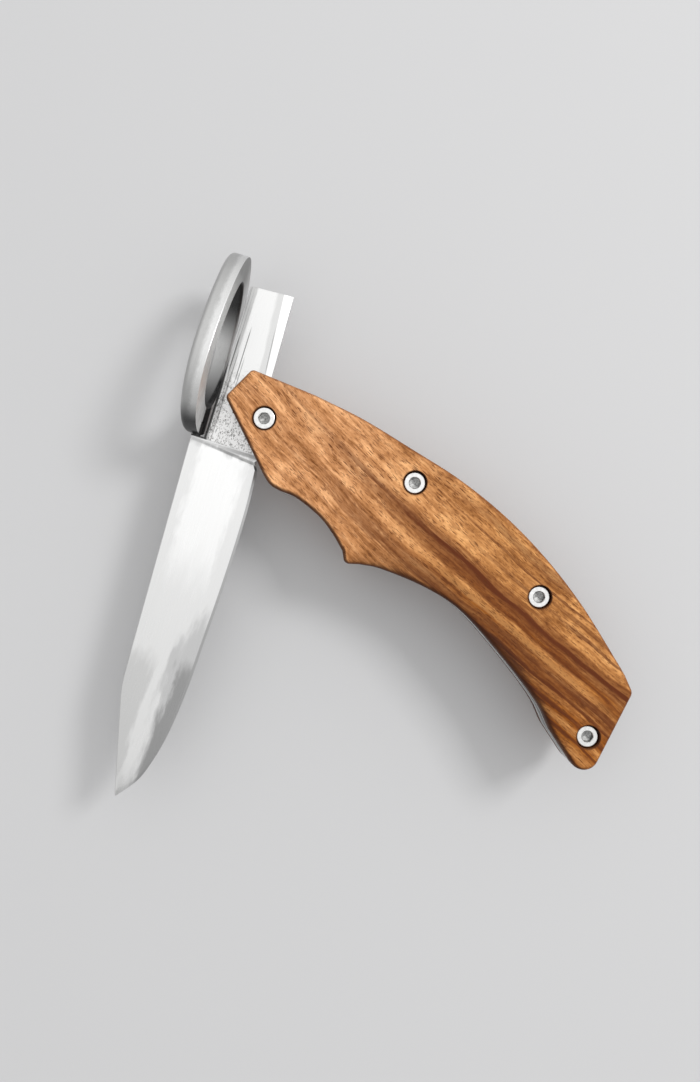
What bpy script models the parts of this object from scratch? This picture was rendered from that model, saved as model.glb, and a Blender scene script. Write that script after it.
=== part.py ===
"""Folding knife with a thumb ring: a friction folder, shown half open, with wooden scales on steel liners.

Metres, +Z up. The knife lies on its side with the blade along -Y, the handle towards +X and the near scale
on top. The blade turns about the pivot, an axis along +Z. Every piece is drawn from the pivot at the blade's
middle plane and hangs on one of two empties on that axis, blade_frame and handle_frame. The whole is then
moved so that the bottom centre of its box is at the origin.
"""

import math

import bmesh
import bpy
from mathutils import Vector

# Clearances
FACE_GAP = 0.0002  # between flat faces that lie on each other
BORE_GAP = 0.0003  # round a shank, a barrel or a post in its hole
HEAD_GAP = 0.0002  # round a screw head in its counterbore
OVERRUN = 0.001  # how far a cutter runs past what it cuts

# Smoothness of curves
ROUND_SIDES = 28
CURVE_STEPS = 5
CORNER_STEPS = 6
EDGE_STEPS = 4

# Thickness of each layer, from the middle plane outwards
BLADE_THICKNESS = 0.0025
WASHER_THICKNESS = 0.0003
LINER_THICKNESS = 0.001
SCALE_THICKNESS = 0.00335
BLADE_FACE = BLADE_THICKNESS / 2
WASHER_INNER = BLADE_FACE + FACE_GAP
WASHER_OUTER = WASHER_INNER + WASHER_THICKNESS
LINER_INNER = WASHER_OUTER + FACE_GAP
LINER_OUTER = LINER_INNER + LINER_THICKNESS
SCALE_INNER = LINER_OUTER + FACE_GAP
SCALE_OUTER = SCALE_INNER + SCALE_THICKNESS

# Handle outline, as shares of its reach along X and its drop along Y, both from the pivot
HANDLE_REACH = 0.0898
HANDLE_DROP = 0.0503
SCALE_EDGE_ROUND = 0.0009
GUARD_CORNER_RADIUS = 0.0003  # the corner radii are those left on the flat face, inside the rounded edge
NOSE_CORNER_RADIUS = 0.0002
BUTT_HEEL_RADIUS = 0.0008
BUTT_TOE_RADIUS = 0.0022
NOSE_LOW_SHARE = (-0.102, 0.040)
NOSE_HIGH_SHARE = (-0.061, 0.180)
BACK_SHARES = (
    (0.095, 0.155),
    (0.217, 0.120),
    (0.346, 0.062),
    (0.470, 0.002),
    (0.594, -0.085),
    (0.713, -0.200),
    (0.828, -0.344),
    (0.939, -0.516),
    (0.970, -0.566),
)
BUTT_HEEL_SHARE = (0.999, -0.626)
BUTT_TOE_SHARE = (0.958, -1.046)
BELLY_SHARES = (
    (0.845, -0.878),
    (0.792, -0.778),
    (0.678, -0.634),
    (0.566, -0.516),
    (0.469, -0.466),
    (0.361, -0.448),
    (0.309, -0.456),
)
GUARD_SHARE = (0.275, -0.472)
RECESS_SHARES = (
    (0.262, -0.424),
    (0.228, -0.368),
    (0.186, -0.316),
    (0.124, -0.272),
    (0.080, -0.263),
    (0.055, -0.250),
    (0.034, -0.218),
)

# Screws and what they hold, placed by the same shares
BODY_SCREW_SHARES = {
    "front": (0.375, -0.068),
    "middle": (0.727, -0.364),
    "butt": (0.929, -0.853),
}
SCREW_HEAD_RADIUS = 0.00225
SCREW_HEAD_HEIGHT = 0.0016
SCREW_HEAD_CHAMFER = 0.0002
SCREW_SHANK_RADIUS = 0.0011
SCREW_TIP_GAP = 0.0005  # from a screw's tip to the middle plane, where the opposite screw ends
BODY_SCREW_RECESS = 0.0008
PIVOT_SCREW_RECESS = 0.00015
SOCKET_ACROSS_FLATS = 0.0022
SOCKET_DEPTH = 0.0011
STANDOFF_RADIUS = 0.0022
STANDOFF_CHAMFER = 0.0002
BARREL_RADIUS = 0.0025
WASHER_RADIUS = 0.0045

# Tang: the flat bar that runs on past the pivot, on the spine side of it
PIVOT_LOBE_RADIUS = 0.0063
LOBE_START_DEG = -72
LOBE_END_DEG = 62
TANG_LEFT = -0.0117
TANG_END = 0.0270
TANG_END_DROP = 0.0005  # of the end's spine corner, below its front corner
TANG_END_WIDTH = 0.0093
TANG_ROOT_WIDTH = 0.0099
TANG_ROOT = 0.0088  # where the bar's straight edge leaves the lobe
TANG_BEVEL_SLOPE = 0.22  # of depth to width
SPINE_BEVEL_WIDTHS = (0.0016, 0.0016)  # at the ledge and at the tang's end
FRONT_BEVEL_WIDTHS = (0.0012, 0.0020)  # at the root and at the tang's end

# Thumb ring: an egg-shaped plate, square to the blade, whose foot stands on a ledge of the tang
RING_LEAN_DEG = 1.1
RING_FOOT_GAP = 0.0013  # from the tang's edge to the ring's face, at the foot
RING_FOOT = -0.0068
RING_LENGTH = 0.0393
RING_HEIGHT = 0.0266  # of the plain oval, before its swell
RING_FOOT_THICKNESS = 0.0035
RING_END_THICKNESS = 0.0041
RING_SWELL = 0.3
RING_FOOT_DEPTH = 0.0063  # from the foot to the hole
HOLE_LENGTH = 0.0272
HOLE_HEIGHT = 0.0162
RING_EDGE_ROUND = 0.0009
RING_EDGE_BREAK = 0.00015
HOLE_CHAMFER = 0.0008
HOLE_BACK_CHAMFER = 0.0004
RING_STATIONS = 64
NOTCH_DEPTH = 0.0016
NOTCH_HEIGHT = 0.0028
LEDGE_HEIGHT = 0.0004
LEDGE_LIP = 0.0002  # of the ledge past the post

# Blade, as shares of its length along -Y from the shoulder and of its width along X from the spine
BLADE_LENGTH = 0.0784
BLADE_WIDTH = 0.0162
SPINE_SHARES = ((0.000, 0.000), (0.705, 0.099), (1.000, 0.448))
EDGE_HEEL_SHARES = ((0.020, 0.901), (0.040, 0.963))
EDGE_SHARES = (
    (0.148, 0.994),
    (0.265, 1.000),
    (0.390, 0.990),
    (0.509, 0.969),
    (0.671, 0.937),
    (0.800, 0.868),
    (0.889, 0.766),
    (0.945, 0.654),
    (1.000, 0.448),
)
BLADE_STATIONS = 40
PLUNGE_LENGTH = 0.0008
EDGE_BEVEL_WIDTH = 0.0007
EDGE_BEVEL_THICKNESS = 0.0005
EDGE_THICKNESS = 0.00008
TIP_THICKNESS_SHARE = 0.45  # of the blade's thickness, left at the tip's spine
PLUNGE_THICKNESS_SHARE = 0.94  # of the blade's thickness, left at the spine below the shoulder

WOOD = ("wood", (0.55, 0.28, 0.13), 0.5, 0.0)
SATIN_STEEL = ("satin_steel", (0.62, 0.62, 0.62), 0.35, 1.0)
GROUND_STEEL = ("ground_steel", (0.50, 0.50, 0.50), 0.45, 1.0)
SCREW_STEEL = ("screw_steel", (0.70, 0.70, 0.69), 0.25, 1.0)
BRONZE = ("washer_bronze", (0.60, 0.42, 0.22), 0.4, 1.0)


# Plane curves


def smooth_through(points):
    """A smooth open curve through the points, both ends included."""
    first = 2 * points[0] - points[1]
    last = 2 * points[-1] - points[-2]
    padded = [first, *points, last]
    curve = []
    for index in range(1, len(padded) - 2):
        before, start, end, after = padded[index - 1 : index + 3]
        for step in range(CURVE_STEPS):
            share = step / CURVE_STEPS
            curve.append(
                start
                + share * (end - before) / 2
                + share**2 * (before - 5 * start / 2 + 2 * end - after / 2)
                + share**3 * (3 * (start - end) + after - before) / 2
            )
    curve.append(points[-1])
    return curve


def rounded(before, corner, after, radius):
    """The arc of that radius that replaces a corner between two straight stretches."""
    back = (before - corner).normalized()
    ahead = (after - corner).normalized()
    half_angle = back.angle(ahead) / 2
    reach = radius / math.tan(half_angle)
    middle = (back + ahead).normalized()
    centre = corner + middle * (radius / math.sin(half_angle))
    start = corner + back * reach - centre
    turn = start.angle_signed(corner + ahead * reach - centre)
    arc = []
    for step in range(CORNER_STEPS + 1):
        angle = -turn * step / CORNER_STEPS
        cosine, sine = math.cos(angle), math.sin(angle)
        arc.append(centre + Vector((start.x * cosine - start.y * sine, start.x * sine + start.y * cosine)))
    return arc


def inset(outline, distance):
    """The closed outline moved inwards; it runs anticlockwise."""
    moved = []
    for index, point in enumerate(outline):
        before = (point - outline[index - 1]).normalized()
        after = (outline[(index + 1) % len(outline)] - point).normalized()
        inward_before = Vector((-before.y, before.x))
        inward_after = Vector((-after.y, after.x))
        spread = 1 + inward_before.dot(inward_after)
        moved.append(point + distance * (inward_before + inward_after) / spread)
    return moved


def on_handle(share):
    return Vector((share[0] * HANDLE_REACH, share[1] * HANDLE_DROP))


def handle_outline():
    """The outline that both scales and both liners share, anticlockwise from the nose's lower corner."""
    nose_radius = SCALE_EDGE_ROUND + NOSE_CORNER_RADIUS
    heel_radius = SCALE_EDGE_ROUND + BUTT_HEEL_RADIUS
    toe_radius = SCALE_EDGE_ROUND + BUTT_TOE_RADIUS
    guard_radius = SCALE_EDGE_ROUND + GUARD_CORNER_RADIUS
    nose_low, nose_high = on_handle(NOSE_LOW_SHARE), on_handle(NOSE_HIGH_SHARE)
    heel_corner, toe_corner = on_handle(BUTT_HEEL_SHARE), on_handle(BUTT_TOE_SHARE)
    guard = on_handle(GUARD_SHARE)
    back = smooth_through([on_handle(share) for share in BACK_SHARES])
    belly = smooth_through([on_handle(share) for share in BELLY_SHARES])
    recess = smooth_through([on_handle(share) for share in RECESS_SHARES])
    clockwise = [
        *rounded(recess[-1], nose_low, nose_high, nose_radius),
        *rounded(nose_low, nose_high, back[0], nose_radius),
        *back,
        *rounded(back[-1], heel_corner, toe_corner, heel_radius),
        *rounded(heel_corner, toe_corner, belly[0], toe_radius),
        *belly,
        *rounded(belly[-1], guard, recess[0], guard_radius),
        *recess,
    ]
    return clockwise[::-1]


def on_ring(along, depth):
    """A point by its distance up the ring's face from the foot, and its depth behind that face."""
    lean = math.radians(RING_LEAN_DEG)
    foot = Vector((TANG_LEFT - RING_FOOT_GAP, RING_FOOT))
    up = Vector((-math.sin(lean), math.cos(lean)))
    behind = Vector((-math.cos(lean), -math.sin(lean)))
    return foot + along * up + depth * behind


def egg(angle, foot, length, height):
    """Distance up the face and height off the middle plane, on an egg whose blunt end is at the foot."""
    along = foot + length / 2 * (1 + math.cos(angle))
    return along, height / 2 * math.sin(angle) * math.exp(-RING_SWELL * math.cos(angle))


# The blade's plan


POST_DEPTH = NOTCH_DEPTH - BORE_GAP
LEDGE_TOP = RING_FOOT - BORE_GAP
SHOULDER = LEDGE_TOP - LEDGE_HEIGHT
SPINE_LEFT = TANG_LEFT - RING_FOOT_GAP - POST_DEPTH - LEDGE_LIP


def on_blade(share):
    return Vector((SPINE_LEFT + share[1] * BLADE_WIDTH, SHOULDER - share[0] * BLADE_LENGTH))


def along_curve(points, share):
    """The point that lies at this share of the curve's length."""
    lengths = [(end - start).length for start, end in zip(points, points[1:])]
    left = share * sum(lengths)
    for start, end, length in zip(points, points[1:], lengths):
        if left <= length:
            return start.lerp(end, left / length)
        left -= length
    return points[-1]


def tang_outline():
    """The tang's plan from the shoulder's edge side, anticlockwise round to its spine side."""
    arc = []
    for step in range(ROUND_SIDES // 2 + 1):
        share = step / (ROUND_SIDES // 2)
        angle = math.radians(LOBE_START_DEG + share * (LOBE_END_DEG - LOBE_START_DEG))
        arc.append(PIVOT_LOBE_RADIUS * Vector((math.cos(angle), math.sin(angle))))
    root = Vector((TANG_LEFT + TANG_ROOT_WIDTH, TANG_ROOT))
    end_right = Vector((TANG_LEFT + TANG_END_WIDTH, TANG_END))
    return [
        on_blade(EDGE_HEEL_SHARES[0]),
        *arc,
        root,
        end_right,
        Vector((TANG_LEFT, TANG_END - TANG_END_DROP)),
        Vector((TANG_LEFT, LEDGE_TOP)),
        Vector((TANG_LEFT - RING_FOOT_GAP, LEDGE_TOP)),
        on_ring(NOTCH_HEIGHT - BORE_GAP, 0),
        on_ring(NOTCH_HEIGHT - BORE_GAP, POST_DEPTH),
        Vector((TANG_LEFT - RING_FOOT_GAP - POST_DEPTH, LEDGE_TOP)),
        Vector((SPINE_LEFT, LEDGE_TOP)),
        on_blade(SPINE_SHARES[0]),
    ]


# Solids


def add_prism(shape, outline, low, high):
    """An anticlockwise outline drawn up from low to high."""
    bottom = [shape.verts.new((point.x, point.y, low)) for point in outline]
    top = [shape.verts.new((point.x, point.y, high)) for point in outline]
    bridge(shape, [bottom, top])


def bridge(shape, rings, ends_open=False):
    """Walls between rings of corners that follow one another upwards, and a face at each end."""
    for lower, upper in zip(rings, rings[1:]):
        for index in range(len(lower)):
            following = (index + 1) % len(lower)
            shape.faces.new((lower[index], lower[following], upper[following], upper[index]))
    if not ends_open:
        shape.faces.new(rings[0][::-1])
        shape.faces.new(rings[-1])


def add_turned(shape, profile, centre=Vector((0, 0)), bored=False):
    """A profile of (radius, height) turned about an upright axis; a bored one closes on itself."""
    rings = []
    for radius, height in profile:
        ring = []
        for side in range(ROUND_SIDES):
            angle = 2 * math.pi * side / ROUND_SIDES
            x = centre.x + radius * math.cos(angle)
            ring.append(shape.verts.new((x, centre.y + radius * math.sin(angle), height)))
        rings.append(ring)
    if bored:
        rings.append(rings[0])
    bridge(shape, rings, ends_open=bored)


def tube_profile(outer, bore, low, high, chamfer):
    wall = [(outer - chamfer, low), (outer, low + chamfer), (outer, high - chamfer), (outer - chamfer, high)]
    return [(bore, high), (bore, low), *wall]


def washer_profile(outer, bore, low, high):
    return [(bore, high), (bore, low), (outer, low), (outer, high)]


def mirrored(shape):
    """The shape turned over to the far side of the middle plane."""
    for vert in shape.verts:
        vert.co.z = -vert.co.z
    bmesh.ops.reverse_faces(shape, faces=shape.faces[:])
    return shape


def material(look):
    name, colour, roughness, metallic = look
    made = bpy.data.materials.get(name)
    if made is None:
        made = bpy.data.materials.new(name)
        made.use_nodes = True
        shader = made.node_tree.nodes["Principled BSDF"]
        shader.inputs["Base Color"].default_value = (*colour, 1)
        shader.inputs["Roughness"].default_value = roughness
        shader.inputs["Metallic"].default_value = metallic
        made.diffuse_color = (*colour, 1)
    return made


def piece(name, shape, look, frame, place=Vector((0, 0))):
    """An object of its own for a closed shape, smooth where it is round."""
    bmesh.ops.recalc_face_normals(shape, faces=shape.faces[:])
    mesh = bpy.data.meshes.new(name)
    shape.to_mesh(mesh)
    shape.free()
    mesh.shade_smooth()
    mesh.set_sharp_from_angle(angle=math.radians(35))
    if look:
        mesh.materials.append(material(look))
    made = bpy.data.objects.new(name, mesh)
    made.location = (place.x, place.y, 0)
    made.parent = frame
    bpy.context.scene.collection.objects.link(made)
    return made


def cut(target, name, shape):
    """Takes a shape away from a piece, with a cutter that stays beside it."""
    cutter = piece(name, shape, None, target.parent, target.location)
    cutter.hide_render = True
    cutter.display_type = "WIRE"
    modifier = target.modifiers.new(name, "BOOLEAN")
    modifier.operation = "DIFFERENCE"
    modifier.solver = "EXACT"
    modifier.object = cutter


# Handle


def counterbore_profile(recess):
    floor = SCALE_OUTER - recess - SCREW_HEAD_HEIGHT - FACE_GAP
    shank = SCREW_SHANK_RADIUS + BORE_GAP
    head = SCREW_HEAD_RADIUS + HEAD_GAP
    return [(shank, SCALE_INNER - OVERRUN), (shank, floor), (head, floor), (head, SCALE_OUTER + OVERRUN)]


def scale(side, frame):
    """A wooden scale: the outline, its outer edge rounded over, with a counterbored hole for each screw."""
    outline = handle_outline()
    rounding = [(outline, SCALE_INNER), (outline, SCALE_OUTER - SCALE_EDGE_ROUND)]
    for step in range(1, EDGE_STEPS + 1):
        angle = math.pi / 2 * step / EDGE_STEPS
        drawn_in = inset(outline, SCALE_EDGE_ROUND * (1 - math.cos(angle)))
        rounding.append((drawn_in, SCALE_OUTER - SCALE_EDGE_ROUND * (1 - math.sin(angle))))
    shape = bmesh.new()
    bridge(shape, [[shape.verts.new((p.x, p.y, height)) for p in points] for points, height in rounding])
    bores = bmesh.new()
    add_turned(bores, counterbore_profile(PIVOT_SCREW_RECESS))
    for share in BODY_SCREW_SHARES.values():
        add_turned(bores, counterbore_profile(BODY_SCREW_RECESS), on_handle(share))
    if side == "far":
        shape, bores = mirrored(shape), mirrored(bores)
    made = piece(f"{side}_scale", shape, WOOD, frame)
    cut(made, f"{side}_scale_bores", bores)


def liner(side, frame):
    """A steel liner under its scale, bored for the pivot barrel and the body screws."""
    shape = bmesh.new()
    add_prism(shape, handle_outline(), LINER_INNER, LINER_OUTER)
    bores = bmesh.new()
    low, high = LINER_INNER - OVERRUN, LINER_OUTER + OVERRUN
    barrel = BARREL_RADIUS + BORE_GAP
    shank = SCREW_SHANK_RADIUS + BORE_GAP
    add_turned(bores, [(barrel, low), (barrel, high)])
    for share in BODY_SCREW_SHARES.values():
        add_turned(bores, [(shank, low), (shank, high)], on_handle(share))
    if side == "far":
        shape, bores = mirrored(shape), mirrored(bores)
    made = piece(f"{side}_liner", shape, GROUND_STEEL, frame)
    cut(made, f"{side}_liner_bores", bores)


def screw(name, side, place, recess, frame):
    """A low socket-head screw, its head sunk in the scale by the recess."""
    top = SCALE_OUTER - recess
    under_head = top - SCREW_HEAD_HEIGHT
    shape = bmesh.new()
    profile = [
        (SCREW_SHANK_RADIUS, SCREW_TIP_GAP),
        (SCREW_SHANK_RADIUS, under_head),
        (SCREW_HEAD_RADIUS, under_head),
        (SCREW_HEAD_RADIUS, top - SCREW_HEAD_CHAMFER),
        (SCREW_HEAD_RADIUS - SCREW_HEAD_CHAMFER, top),
    ]
    add_turned(shape, profile)
    socket = bmesh.new()
    across_corners = SOCKET_ACROSS_FLATS / math.cos(math.pi / 6)
    hexagon = []
    for corner in range(6):
        angle = math.pi / 3 * corner
        hexagon.append(across_corners / 2 * Vector((math.cos(angle), math.sin(angle))))
    add_prism(socket, hexagon, top - SOCKET_DEPTH, top + OVERRUN)
    if side == "far":
        shape, socket = mirrored(shape), mirrored(socket)
    made = piece(name, shape, SCREW_STEEL, frame, place)
    cut(made, f"{name}_socket", socket)


def standoff(name, place, frame):
    """A round spacer between the liners, tapped for a screw from each side."""
    end = LINER_INNER - FACE_GAP
    shape = bmesh.new()
    bore = SCREW_SHANK_RADIUS + BORE_GAP
    add_turned(shape, tube_profile(STANDOFF_RADIUS, bore, -end, end, STANDOFF_CHAMFER), bored=True)
    piece(name, shape, SCREW_STEEL, frame, place)


def pivot_hardware(frame):
    """The barrel that the blade turns on, the washer at each side of it, and a screw from each side."""
    shape = bmesh.new()
    bore = SCREW_SHANK_RADIUS + BORE_GAP
    profile = tube_profile(BARREL_RADIUS, bore, -LINER_OUTER, LINER_OUTER, STANDOFF_CHAMFER)
    add_turned(shape, profile, bored=True)
    piece("pivot_barrel", shape, SCREW_STEEL, frame)
    for side in ("near", "far"):
        shape = bmesh.new()
        bore = BARREL_RADIUS + BORE_GAP
        add_turned(shape, washer_profile(WASHER_RADIUS, bore, WASHER_INNER, WASHER_OUTER), bored=True)
        piece(f"{side}_washer", mirrored(shape) if side == "far" else shape, BRONZE, frame)
        screw(f"{side}_pivot_screw", side, Vector((0, 0)), PIVOT_SCREW_RECESS, frame)


def handle(frame):
    for side in ("near", "far"):
        scale(side, frame)
        liner(side, frame)
    pivot_hardware(frame)
    for where, share in BODY_SCREW_SHARES.items():
        standoff(f"{where}_standoff", on_handle(share), frame)
        for side in ("near", "far"):
            screw(f"{side}_{where}_screw", side, on_handle(share), BODY_SCREW_RECESS, frame)


# Blade


def blade_section(spine, edge, bevel_width, spine_half, bevel_half, edge_half):
    """Corners of one cross-section: near spine, near bevel line, near edge, then the far three."""
    bevel = edge + (spine - edge).normalized() * bevel_width
    near = [(spine, spine_half), (bevel, bevel_half), (edge, edge_half)]
    return [(*point, height) for point, height in near] + [(*point, -height) for point, height in near[::-1]]


def blade_sections():
    """Sections from the shoulder's full thickness, down the plunge and on to just short of the tip."""
    spine = [on_blade(share) for share in SPINE_SHARES]
    heel = [on_blade(share) for share in EDGE_HEEL_SHARES]
    edge = [heel[0], *smooth_through([heel[1]] + [on_blade(share) for share in EDGE_SHARES])]
    sections = [blade_section(spine[0], edge[0], EDGE_BEVEL_WIDTH, BLADE_FACE, BLADE_FACE, BLADE_FACE)]
    plunge = PLUNGE_LENGTH / BLADE_LENGTH
    for step in range(BLADE_STATIONS):
        share = plunge + (1 - plunge) * step / BLADE_STATIONS
        left = PLUNGE_THICKNESS_SHARE + share**2 * (TIP_THICKNESS_SHARE - PLUNGE_THICKNESS_SHARE)
        spine_point, edge_point = along_curve(spine, share), along_curve(edge, share)
        width = min(EDGE_BEVEL_WIDTH, (spine_point - edge_point).length / 2)
        bevel_half = EDGE_BEVEL_THICKNESS / 2
        sections.append(
            blade_section(spine_point, edge_point, width, BLADE_FACE * left, bevel_half, EDGE_THICKNESS / 2)
        )
    return sections, spine[-1]


def add_blade_body(shape):
    """Tang and blade as one skin: the flat tang, whose shoulder line is the first section of the blade."""
    sections, tip = blade_sections()
    plan = tang_outline()
    near = [shape.verts.new((point.x, point.y, BLADE_FACE)) for point in plan]
    far = [shape.verts.new((point.x, point.y, -BLADE_FACE)) for point in plan]
    near_bevel, far_bevel = shape.verts.new(sections[0][1]), shape.verts.new(sections[0][4])
    shape.faces.new([*near, near_bevel])
    shape.faces.new([*far, far_bevel][::-1])
    for index in range(len(plan) - 1):
        shape.faces.new((far[index], far[index + 1], near[index + 1], near[index]))
    previous = [near[-1], near_bevel, near[0], far[0], far_bevel, far[-1]]
    for section in sections[1:]:
        ring = [shape.verts.new(corner) for corner in section]
        bridge(shape, [previous, ring], ends_open=True)
        previous = ring
    point = shape.verts.new((*tip, 0))
    for index, corner in enumerate(previous):
        shape.faces.new((corner, previous[(index + 1) % len(previous)], point))


def add_tang_bevel(shape, foot, end, inward_x, widths):
    """Wedges that grind the bar's near and far faces down towards the edge that runs from foot to end."""
    direction = (end - foot).normalized()
    inward = math.copysign(1, inward_x) * Vector((direction.y, -direction.x))
    overrun_share = OVERRUN / (end - foot).length
    past_end = widths[1] + overrun_share * (widths[1] - widths[0])
    for face in (1, -1):
        rings = []
        for station, width in ((foot, widths[0]), (end + direction * OVERRUN, past_end)):
            corners = []
            for offset in (-OVERRUN, width + OVERRUN):
                place = station + inward * offset
                ground = BLADE_FACE - (width - offset) * TANG_BEVEL_SLOPE
                corners.append(shape.verts.new((place.x, place.y, face * ground)))
            for offset in (width + OVERRUN, -OVERRUN):
                place = station + inward * offset
                corners.append(shape.verts.new((place.x, place.y, face * (BLADE_FACE + OVERRUN))))
            rings.append(corners)
        bridge(shape, rings)


def blade(frame):
    """The blade and its tang, bored for the pivot barrel, with the bar's long bevels ground in."""
    shape = bmesh.new()
    add_blade_body(shape)
    made = piece("blade", shape, SATIN_STEEL, frame)
    bore = bmesh.new()
    radius = BARREL_RADIUS + BORE_GAP
    reach = BLADE_FACE + OVERRUN
    add_turned(bore, [(radius, -reach), (radius, reach)])
    cut(made, "pivot_bore", bore)
    spine_side = bmesh.new()
    foot = Vector((TANG_LEFT, LEDGE_TOP + RING_FOOT_GAP))
    add_tang_bevel(spine_side, foot, Vector((TANG_LEFT, TANG_END)), 1, SPINE_BEVEL_WIDTHS)
    cut(made, "tang_spine_bevel", spine_side)
    front_side = bmesh.new()
    root = Vector((TANG_LEFT + TANG_ROOT_WIDTH, TANG_ROOT))
    front_end = Vector((TANG_LEFT + TANG_END_WIDTH, TANG_END))
    add_tang_bevel(front_side, root, front_end, -1, FRONT_BEVEL_WIDTHS)
    cut(made, "tang_front_bevel", front_side)


def ring_back(along):
    """How far behind its face the ring's flat back lies, as the ring thickens away from its foot."""
    share = along / RING_LENGTH
    return RING_FOOT_THICKNESS + share * (RING_END_THICKNESS - RING_FOOT_THICKNESS)


def ring_section(angle):
    """Corners of the ring's section at one angle: round its outer band, its back, its hole and its face."""
    outer_along, outer_height = egg(angle, 0, RING_LENGTH, RING_HEIGHT)
    hole_along, hole_height = egg(angle, RING_FOOT_DEPTH, HOLE_LENGTH, HOLE_HEIGHT)
    outer = Vector((outer_along, outer_height))
    hole = Vector((hole_along, hole_height))
    inward = (hole - outer).normalized()
    corners = [(outer + inward * RING_EDGE_BREAK, 0), (outer, RING_EDGE_BREAK)]
    for step in range(EDGE_STEPS + 1):
        turn = math.pi / 2 * step / EDGE_STEPS
        drawn_in = RING_EDGE_ROUND * (1 - math.cos(turn))
        point = outer + inward * drawn_in
        corners.append((point, ring_back(point.x) - RING_EDGE_ROUND * (1 - math.sin(turn))))
    back_rim = hole - inward * HOLE_BACK_CHAMFER
    corners += [
        (back_rim, ring_back(back_rim.x)),
        (hole, ring_back(hole.x) - HOLE_BACK_CHAMFER),
        (hole, HOLE_CHAMFER),
        (hole - inward * HOLE_CHAMFER, 0),
    ]
    return [(*on_ring(point.x, depth), point.y) for point, depth in corners]


def thumb_ring(frame):
    """The ring, with a notch in its foot that takes the post on the tang's ledge."""
    shape = bmesh.new()
    rings = []
    for station in range(RING_STATIONS):
        corners = ring_section(2 * math.pi * station / RING_STATIONS)
        rings.append([shape.verts.new(corner) for corner in corners])
    bridge(shape, [*rings, rings[0]], ends_open=True)
    made = piece("thumb_ring", shape, GROUND_STEEL, frame)
    notch = bmesh.new()
    plan = [
        on_ring(-OVERRUN, -OVERRUN),
        on_ring(NOTCH_HEIGHT, -OVERRUN),
        on_ring(NOTCH_HEIGHT, NOTCH_DEPTH),
        on_ring(-OVERRUN, NOTCH_DEPTH),
    ]
    half_width = BLADE_FACE + BORE_GAP
    add_prism(notch, plan, -half_width, half_width)
    cut(made, "ring_notch", notch)


# The whole knife


def empty(name, parent=None):
    made = bpy.data.objects.new(name, None)
    made.parent = parent
    bpy.context.scene.collection.objects.link(made)
    return made


def set_on_origin(root):
    """Moves the knife so that the bottom centre of its box is at the origin."""
    bpy.context.view_layer.update()
    shown = [made for made in bpy.data.objects if made.type == "MESH" and not made.hide_render]
    corners = [made.matrix_world @ Vector(corner) for made in shown for corner in made.bound_box]
    low = [min(corner[axis] for corner in corners) for axis in range(3)]
    high = [max(corner[axis] for corner in corners) for axis in range(3)]
    root.location = (-(low[0] + high[0]) / 2, -(low[1] + high[1]) / 2, -low[2])


def main():
    for old in list(bpy.data.objects):
        bpy.data.objects.remove(old, do_unlink=True)
    root = empty("knife")
    handle(empty("handle_frame", root))
    blade_frame = empty("blade_frame", root)
    blade(blade_frame)
    thumb_ring(blade_frame)
    set_on_origin(root)


main()
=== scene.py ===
import math

import bmesh
import bpy
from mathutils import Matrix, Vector


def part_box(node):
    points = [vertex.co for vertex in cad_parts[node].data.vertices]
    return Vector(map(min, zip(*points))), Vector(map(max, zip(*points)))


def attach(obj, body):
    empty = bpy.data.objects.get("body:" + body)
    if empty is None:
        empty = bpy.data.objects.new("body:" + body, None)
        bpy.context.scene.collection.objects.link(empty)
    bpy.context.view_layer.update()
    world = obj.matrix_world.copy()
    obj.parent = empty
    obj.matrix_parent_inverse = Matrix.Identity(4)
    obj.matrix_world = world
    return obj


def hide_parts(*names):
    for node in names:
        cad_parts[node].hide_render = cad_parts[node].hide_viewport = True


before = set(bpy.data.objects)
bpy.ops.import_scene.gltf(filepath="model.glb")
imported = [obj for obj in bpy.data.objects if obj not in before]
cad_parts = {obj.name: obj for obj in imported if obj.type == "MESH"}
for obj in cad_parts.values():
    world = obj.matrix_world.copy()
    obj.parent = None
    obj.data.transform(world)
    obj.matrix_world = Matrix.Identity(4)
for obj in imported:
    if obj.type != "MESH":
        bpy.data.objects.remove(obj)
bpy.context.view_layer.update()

# Everything is drawn in millimetres from the pivot at the blade's middle plane, and set in place in metres.
MM = 0.001
low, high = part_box("pivot_barrel")
PIVOT = (low + high) / 2

# Sizes as in the CAD, with finer edges. First the layers, outwards
BLADE_FACE = 1.25
WASHER_INNER = 1.45
WASHER_OUTER = 1.75
LINER_INNER = 1.95
LINER_OUTER = 2.95
SCALE_INNER = 3.15
SCALE_OUTER = 6.5
BORE_GAP = 0.3
HEAD_GAP = 0.2
FACE_GAP = 0.2

# Handle: its outline, in shares of its reach and drop, and its roundings
HANDLE_REACH = 89.8
HANDLE_DROP = 50.3
NOSE_LOW_SHARE = (-0.102, 0.040)
NOSE_HIGH_SHARE = (-0.061, 0.180)
BACK_SHARES = (
    (0.095, 0.155), (0.217, 0.120), (0.346, 0.062), (0.470, 0.002), (0.594, -0.085), (0.713, -0.200),
    (0.828, -0.344), (0.939, -0.516), (0.970, -0.566),
)
BUTT_HEEL_SHARE = (0.999, -0.626)
BUTT_TOE_SHARE = (0.958, -1.046)
BELLY_SHARES = (
    (0.845, -0.878), (0.792, -0.778), (0.678, -0.634), (0.566, -0.516), (0.469, -0.466), (0.361, -0.448),
    (0.309, -0.456),
)
GUARD_SHARE = (0.275, -0.472)
RECESS_SHARES = (
    (0.262, -0.424), (0.228, -0.368), (0.186, -0.316), (0.124, -0.272), (0.080, -0.263), (0.055, -0.250),
    (0.034, -0.218),
)
NOSE_ROUND = 1.1
HEEL_ROUND = 1.7
TOE_ROUND = 3.1
GUARD_ROUND = 1.2
EDGE_ROUND = 0.9
EDGE_ROUND_DROP = 1.3
SCALE_FOOT_BREAK = 0.08
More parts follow.
